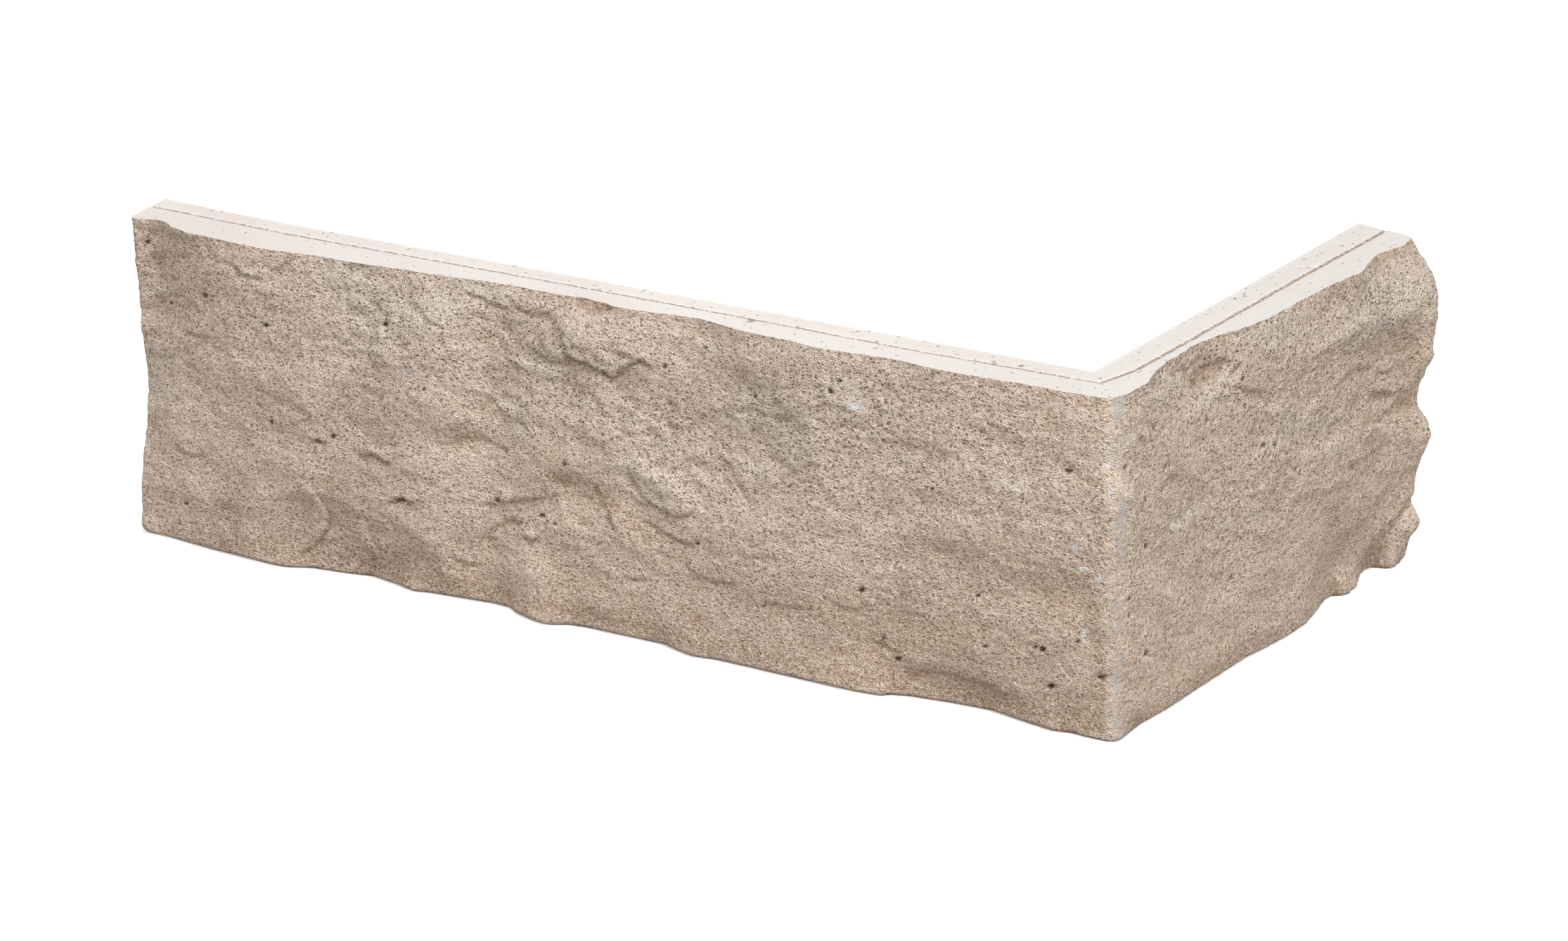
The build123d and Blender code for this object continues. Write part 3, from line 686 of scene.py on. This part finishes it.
def panel(low, right, high, left, across, side, tall=side_rows):
    """A plain cast face between four borders of points, each listed from its left or its foot."""
    def place(border, i, n):
        return border[round(i / n * (len(border) - 1))]

    def stretch(border, i, n, step=1):
        """A border's points along one cell but the last; step -1 takes them backwards."""
        first, last = (round(k / n * (len(border) - 1)) for k in (i, i + 1))
        return list(border[first:last + 1])[::step][:-1]

    corners = [Vector(points[k]) for k in (low[0], low[-1], high[0], high[-1])]
    inner = {}
    for i in range(across + 1):
        for j in range(tall + 1):
            if i in (0, across):
                inner[i, j] = place(left if i == 0 else right, j, tall)
            elif j in (0, tall):
                inner[i, j] = place(low if j == 0 else high, i, across)
            else:
                s, t = i / across, j / tall
                a, b = (Vector(points[place(border, i, across)]) for border in (low, high))
                c, d = (Vector(points[place(border, j, tall)]) for border in (left, right))
                foot_flat = corners[0] * (1 - s) + corners[1] * s
                head_flat = corners[2] * (1 - s) + corners[3] * s
                flat = foot_flat * (1 - t) + head_flat * t
                at = a * (1 - t) + b * t + c * (1 - s) + d * s - flat
                inner[i, j] = point(at.x / mm, at.y / mm, at.z / mm)
    for i in range(across):
        for j in range(tall):
            ring = stretch(low, i, across) if j == 0 else [inner[i, j]]
            ring += stretch(right, j, tall) if i == across - 1 else [inner[i + 1, j]]
            ring += stretch(high, i, across, -1) if j == tall - 1 else [inner[i + 1, j + 1]]
            ring += stretch(left, j, tall, -1) if i == 0 else [inner[i, j + 1]]
            face(ring, side)


def upright(foot, head):
    """Points up a corner of the wall side, from a lower bed's point to an upper bed's."""
    a, b = Vector(points[foot]), Vector(points[head])
    inner = [a.lerp(b, k / side_rows) for k in range(1, side_rows)]
    return [foot] + [point(p.x / mm, p.y / mm, p.z / mm) for p in inner] + [head]


left_back = upright(lower[-1][0], upper[-1][0])
wall_corner = upright(pole[False], pole[True])
right_back = upright(lower[-1][-1], upper[-1][-1])
long_low = list(lower[-1][:first_turn]) + [pole[False]]
long_high = list(upper[-1][:first_turn]) + [pole[True]]
short_low = [pole[False]] + list(lower[-1][first_short + 1:])
short_high = [pole[True]] + list(upper[-1][first_short + 1:])
panel(long_low, wall_corner, long_high, left_back, long_side_cells, long_wall)
panel(short_low, right_back, short_high, wall_corner, short_side_cells, short_wall)
for c, end_back, side in ((0, left_back, left_end), (-1, right_back, right_end)):
    low, high = ([line[c] for line in lines] for lines in (lower, upper))
    panel(low, end_back, high, list(outer[c]), end_cells, side)

mesh = bpy.data.meshes.new("corner_piece")
mesh.from_pydata(points, [], faces)
for name, values in marks.items():
    mesh.attributes.new(name, "FLOAT", "POINT").data.foreach_set("value", values)
cast = [float(side != split) for side in sides]
for name, kind, values in (("side", "INT", sides), ("cast", "FLOAT", cast)):
    mesh.attributes.new(name, kind, "FACE").data.foreach_set("value", values)

work = bmesh.new()
work.from_mesh(mesh)
bmesh.ops.recalc_face_normals(work, faces=work.faces)
side_of = work.faces.layers.int["side"]
for edge in work.edges:
    edge.smooth = len({f[side_of] for f in edge.link_faces}) == 1
for f in work.faces:
    f.smooth = True
bmesh.ops.triangulate(work, faces=[f for f in work.faces if len(f.verts) > 4])
work.to_mesh(mesh)
work.free()


# ---- node trees

def arithmetic(operation, swapped=False):
    """A method that puts a wire and a value through a math node."""
    def result(self, other):
        one, two = (other, self) if swapped else (self, other)
        return self.graph.node("ShaderNodeMath", {0: one, 1: two}, operation=operation)[0]
    return result


class Wire:
    """An output of a node tree; sums on it are written as ordinary expressions."""

    def __init__(self, graph, socket):
        self.graph = graph
        self.socket = socket

    __add__ = __radd__ = arithmetic("ADD")
    __sub__, __rsub__ = arithmetic("SUBTRACT"), arithmetic("SUBTRACT", swapped=True)
    __mul__ = __rmul__ = arithmetic("MULTIPLY")
    __rtruediv__ = arithmetic("DIVIDE", swapped=True)

    def ramp(self, low, high):
        """0 at low, 1 at high, smooth between; low may be the larger one."""
        values = {"Value": self, 1: low, 2: high}
        return self.graph.node("ShaderNodeMapRange", values, interpolation_type="SMOOTHSTEP")[0]


class Made:
    """A node's outputs, by name or by number."""

    def __init__(self, graph, node):
        self.graph = graph
        self.node = node

    def __getitem__(self, key):
        return Wire(self.graph, self.node.outputs[key])


class Graph:
    """A node tree being built."""

    def __init__(self, tree):
        self.tree = tree

    def node(self, kind, values=None, **settings):
        node = self.tree.nodes.new(kind)
        for name, value in settings.items():
            setattr(node, name, value)
        for key, value in (values or {}).items():
            if isinstance(value, Wire):
                self.tree.links.new(value.socket, node.inputs[key])
            else:
                node.inputs[key].default_value = value
        return Made(self, node)

    def mix(self, share, one, two):
        """One colour going over to another."""
        def colour(value):
            return value if isinstance(value, Wire) else (*value, 1.0)
        values = {0: share, 6: colour(one), 7: colour(two)}
        return self.node("ShaderNodeMix", values, data_type="RGBA")[2]

    def coated(self, ground, *coats):
        """The ground colour under coats, each given as its share and colour."""
        for share, colour in coats:
            ground = self.mix(share, ground, colour)
        return ground

    def mark(self, name):
        return self.node("ShaderNodeAttribute", attribute_name=name)["Fac"]

    def noise(self, where, size, detail=2.0, roughness=0.5, warp=0.0):
        """Clouds with lumps about that many millimetres across."""
        values = {"Vector": where, "Scale": 1.0 / mm / size, "Detail": detail}
        values |= {"Roughness": roughness, "Distortion": warp}
        return self.node("ShaderNodeTexNoise", values)["Fac"]

    def scaled(self, vector, factors):
        values = {0: vector, 1: factors}
        return self.node("ShaderNodeVectorMath", values, operation="MULTIPLY")[0]

    def behind_scene(self):
        """1 for rays that show the background, straight or by metal and glass."""
        path = self.node("ShaderNodeLightPath")
        return path["Is Camera Ray"] + path["Is Glossy Ray"] + path["Is Transmission Ray"]


def emptied(block):
    """A material's or world's node tree, emptied."""
    block.use_nodes = True
    block.node_tree.nodes.clear()
    return Graph(block.node_tree)


scene = bpy.context.scene


def placed(name, data):
    """A new object in the scene."""
    obj = bpy.data.objects.new(name, data)
    scene.collection.objects.link(obj)
    return obj


# ---- grain of the break

# Grains are a little flatter than wide, in the mesh and in the finish
grain_shape = (1.0, 1.0, 1.2)

# Grain that the mesh carries, in millimetres
grain_sizes = {"Sand size": 1.7, "Sand height": 1.0, "Lump size": 3.2, "Lump height": 0.8}


def grain_tree(stuff):
    """A node tree that moves the split faces in and out, level, by two sizes of grain."""
    tree = bpy.data.node_groups.new("split_grain", "GeometryNodeTree")
    made = tree.interface
    made.new_socket("Stone", in_out="INPUT", socket_type="NodeSocketGeometry")
    for name, value in grain_sizes.items():
        socket = made.new_socket(name, in_out="INPUT", socket_type="NodeSocketFloat")
        socket.default_value = value
    made.new_socket("Stone", in_out="OUTPUT", socket_type="NodeSocketGeometry")
    graph = Graph(tree)

    def named(name):
        return graph.node("GeometryNodeInputNamedAttribute", {"Name": name})["Attribute"]

    def grain(kind, detail):
        wave = graph.noise(where, given[f"{kind} size"], detail, 0.6)
        return (wave - 0.5) * given[f"{kind} height"] * mm

    given = graph.node("NodeGroupInput")
    where = graph.scaled(graph.node("GeometryNodeInputPosition")["Position"], grain_shape)
    share = named("grain")
    kept = 1.0 - named("worn")
    ground = share * 0.75 + share.ramp(0.0, 0.05) * 0.3
    lift = (grain("Sand", 1.0) + grain("Lump", 2.0)) * ground * (kept * 0.75 + 0.25)
    level = graph.scaled(graph.node("GeometryNodeInputNormal")[0], (1.0, 1.0, 0.0))
    values = {0: level, "Scale": lift}
    offset = graph.node("ShaderNodeVectorMath", values, operation="SCALE")[0]
    values = {"Geometry": given["Stone"], "Offset": offset}
    moved = graph.node("GeometryNodeSetPosition", values)[0]
    real = graph.node("GeometryNodeRealizeInstances", {0: moved})[0]
    done = graph.node("GeometryNodeSetMaterial", {"Geometry": real, "Material": stuff})[0]
    graph.node("NodeGroupOutput", {0: done})
    return tree


def grown(obj, tree, sizes):
    """Makes the node tree's work on the object a plain mesh."""
    modifier = obj.modifiers.new("grain", "NODES")
    modifier.node_group = tree
    for item in tree.interface.items_tree:
        if item.name in sizes:
            modifier[item.identifier] = sizes[item.name]
    shown = obj.evaluated_get(bpy.context.evaluated_depsgraph_get())
    plain = bpy.data.meshes.new_from_object(shown)
    obj.modifiers.remove(modifier)
    obj.data = plain


# ---- the stone's finish

def stone_finish():
    stuff = bpy.data.materials.new("cast_stone")
    g = emptied(stuff)
    where = g.node("ShaderNodeTexCoord")["Object"]
    grains = g.scaled(where, grain_shape)

    cast, *looks = (g.mark(name) for name in ("cast", *mark_names))
    painted_hollow_shading, painted_broad_shade, hole, crack, worn, bloom, seam, grain, pale_tone_and_painted_shading = looks
    split = 1.0 - cast

    clouds = g.noise(where, 34.0, 3.0, 0.6)
    patches = g.noise(where, 11.0, 3.0, 0.6, 0.6)
    sand = g.noise(grains, 1.15, 3.0, 0.6)
    fine = g.noise(grains, 0.47, 2.0, 0.6)
    pore_spacing = 1.5
    values = {"Vector": grains, "Scale": 1.0 / (pore_spacing * mm)}
    pore = g.node("ShaderNodeTexVoronoi", values)["Distance"].ramp(0.33, 0.19)
    rough = grain * split
    chalk = bloom * (0.55 + 0.9 * sand.ramp(0.35, 0.6))
    rub = worn * (0.25 + 0.75 * g.noise(where, 7.0, 3.0, 0.6).ramp(0.3, 0.62))

    tone = g.coated(
        g.mix(clouds.ramp(0.36, 0.64), (0.85, 0.675, 0.55), (0.89, 0.735, 0.61)),
        (patches.ramp(0.45, 0.7) * 0.6, (0.87, 0.695, 0.59)),
        # painted light where tilted to the sky; painted shade where tilted down, along the foot and along the
        # arris; paler where the break is coarser
        (pale_tone_and_painted_shading.ramp(0.0, 1.0) * 0.85, (1.0, 0.87, 0.75)),
        (pale_tone_and_painted_shading.ramp(0.0, -1.2) * 0.75, (0.40, 0.275, 0.185)),
        # light and dark sand, coarse and fine
        (sand.ramp(0.50, 0.66) * (0.38 + 0.55 * rough), (0.96, 0.865, 0.765)),
        (sand.ramp(0.49, 0.33) * (0.22 + 0.28 * rough), (0.38, 0.24, 0.14)),
        (fine.ramp(0.47, 0.35) * 0.85, (0.36, 0.24, 0.15)),
        (fine.ramp(0.54, 0.66) * 0.75, (0.96, 0.865, 0.775)),
        # painted shade in narrow hollows, painted highlight on crests and painted shade in broad hollows
        (painted_hollow_shading.ramp(0.05, 0.9) * 0.38, (0.50, 0.345, 0.225)),
        (painted_hollow_shading.ramp(-0.15, -1.0) * 0.3, (0.84, 0.72, 0.61)),
        (painted_broad_shade.ramp(0.1, 0.9) * 0.28, (0.60, 0.43, 0.30)),
        # painted shade in pores, dirt and painted shade in cracks, chalk, the rubbed arris, and painted shade
        # in air holes
        (pore * (0.45 + 0.25 * rough), (0.24, 0.15, 0.08)),
        (crack.ramp(0.1, 0.9) * 0.7, (0.18, 0.105, 0.055)),
        (chalk.ramp(0.2, 0.8), (0.88, 0.85, 0.85)),
        (rub.ramp(0.05, 0.95) * 0.8, (0.43, 0.40, 0.38)),
        (hole.ramp(0.15, 0.85) * 0.75, (0.13, 0.09, 0.065)),
    )

    # cast beds and wall sides
    painted_shade_near_corner = g.node("ShaderNodeSeparateXYZ", {0: where})["X"].ramp(-0.10, 0.0)
    specks = g.noise(where, 1.5, 0.0).ramp(0.23, 0.195)
    dirt = seam * (0.6 + 0.6 * g.noise(where, 1.6, 2.0, 0.7).ramp(0.35, 0.6))
    cream = g.coated(
        g.mix(clouds.ramp(0.35, 0.65), (0.63, 0.57, 0.53), (0.64, 0.605, 0.58)),
        (patches.ramp(0.5, 0.75) * 0.5, (0.63, 0.555, 0.49)),
        # painted shade on the cast faces towards the short leg
        (painted_shade_near_corner * 0.8, (0.57, 0.54, 0.515)),
        (fine.ramp(0.58, 0.4) * 0.12, (0.58, 0.47, 0.37)),
        # painted shade in pin holes and air holes, and dirt in the seam
        (specks * 0.7, (0.34, 0.25, 0.18)),
        (hole.ramp(0.3, 0.8) * 0.9, (0.12, 0.09, 0.065)),
        (dirt.ramp(0.4, 1.0) * 0.9, (0.28, 0.20, 0.14)),
    )

    colour = g.mix(cast, tone, cream)
    roughness = split * (0.9 + 0.06 * fine) + cast * (0.72 + 0.12 * patches)

    # relief too fine for the mesh, in millimetres
    split_height = (sand - 0.5) * 1.75 + (fine - 0.5) * 1.8 - pore * 0.45
    split_height = split_height * (0.6 + 0.5 * rough) * (1.0 - worn * 0.7) * split
    uneven = (g.noise(where, 2.6, 3.0, 0.6) - 0.5) * 0.14
    cast_height = (uneven + (fine - 0.5) * 0.05 - specks * 0.4) * cast
    values = {"Strength": 1.0, "Distance": mm, "Height": split_height + cast_height}
    bump = g.node("ShaderNodeBump", values)[0]

    values = {"Base Color": colour, "Roughness": roughness, "Normal": bump}
    values["Specular IOR Level"] = 0.12
    shader = g.node("ShaderNodeBsdfPrincipled", values)[0]
    g.node("ShaderNodeOutputMaterial", {"Surface": shader})
    return stuff


piece = placed("corner_piece", mesh)
grown(piece, grain_tree(stone_finish()), grain_sizes)
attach(piece, "root")
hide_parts("corner_stone")


# ---- floor, light and camera

white = (1.0, 1.0, 1.0, 1.0)
floor_glow = 0.42
world_light = 0.34


def floor_finish():
    """A floor seen as white, and darker to the stone, so that it throws back little light."""
    stuff = bpy.data.materials.new("pale_floor")
    g = emptied(stuff)
    seen = g.behind_scene()
    pale_tone_and_painted_shading = g.mix(seen.ramp(0.0, 1.0), (0.23, 0.19, 0.155), (0.90, 0.90, 0.90))
    matt = g.node("ShaderNodeBsdfDiffuse", {"Color": pale_tone_and_painted_shading})[0]
    values = {"Color": white, "Strength": floor_glow * seen}
    lit = g.node("ShaderNodeEmission", values)[0]
    both = g.node("ShaderNodeAddShader", {0: matt, 1: lit})[0]
    g.node("ShaderNodeOutputMaterial", {"Surface": both})
    return stuff


floor_mesh = bpy.data.meshes.new("floor")
floor_mesh.from_pydata([(-5, -5, 0), (5, -5, 0), (5, 5, 0), (-5, 5, 0)], [], [(0, 1, 2, 3)])
floor_mesh.materials.append(floor_finish())
floor = placed("floor", floor_mesh)


def soft_lamp(name, place, size, power):
    """A square lamp aimed at the middle of the stone."""
    lamp = bpy.data.lights.new(name, "AREA")
    lamp.shape = "SQUARE"
    lamp.size = size
    lamp.energy = power
    obj = placed(name, lamp)
    obj.location = place
    obj.rotation_euler = (lit_middle - Vector(place)).to_track_quat("-Z", "Y").to_euler()


# Places and widths in metres, powers in watts
lit_middle = Vector((-0.12, 0.02, 0.045))
soft_lamp("key", (0.40, -0.55, 1.55), 0.7, 21.0)
soft_lamp("right_fill", (1.6, -0.6, 0.8), 0.9, 25.5)
soft_lamp("left_fill", (-1.1, -1.4, 0.8), 0.9, 13.5)
soft_lamp("back_fill", (-0.8, 1.6, 0.25), 0.9, 9.0)

world = bpy.data.worlds.new("studio")
g = emptied(world)
strength = world_light + g.behind_scene().ramp(0.0, 1.0) * (1.0 - world_light)
light = g.node("ShaderNodeBackground", {"Color": white, "Strength": strength})[0]
g.node("ShaderNodeOutputWorld", {"Surface": light})
scene.world = world

# The photograph's camera, from a fit of the stone's straight edges
photo_width_px, focal_length_px = 2474.0, 11000.0
looks_down, turned_left = 19.074, 30.987
camera = bpy.data.cameras.new("camera")
camera.sensor_width = 36.0
camera.lens = camera.sensor_width * focal_length_px / photo_width_px
camera.clip_start = 0.05
camera.clip_end = 50.0
eye = placed("camera", camera)
eye.location = (0.78946, -1.46579, 0.63875)
eye.rotation_euler = (math.radians(90.0 - looks_down), 0.0, math.radians(turned_left))
scene.camera = eye
scene.view_settings.view_transform = "Standard"

bpy.context.view_layer.update()
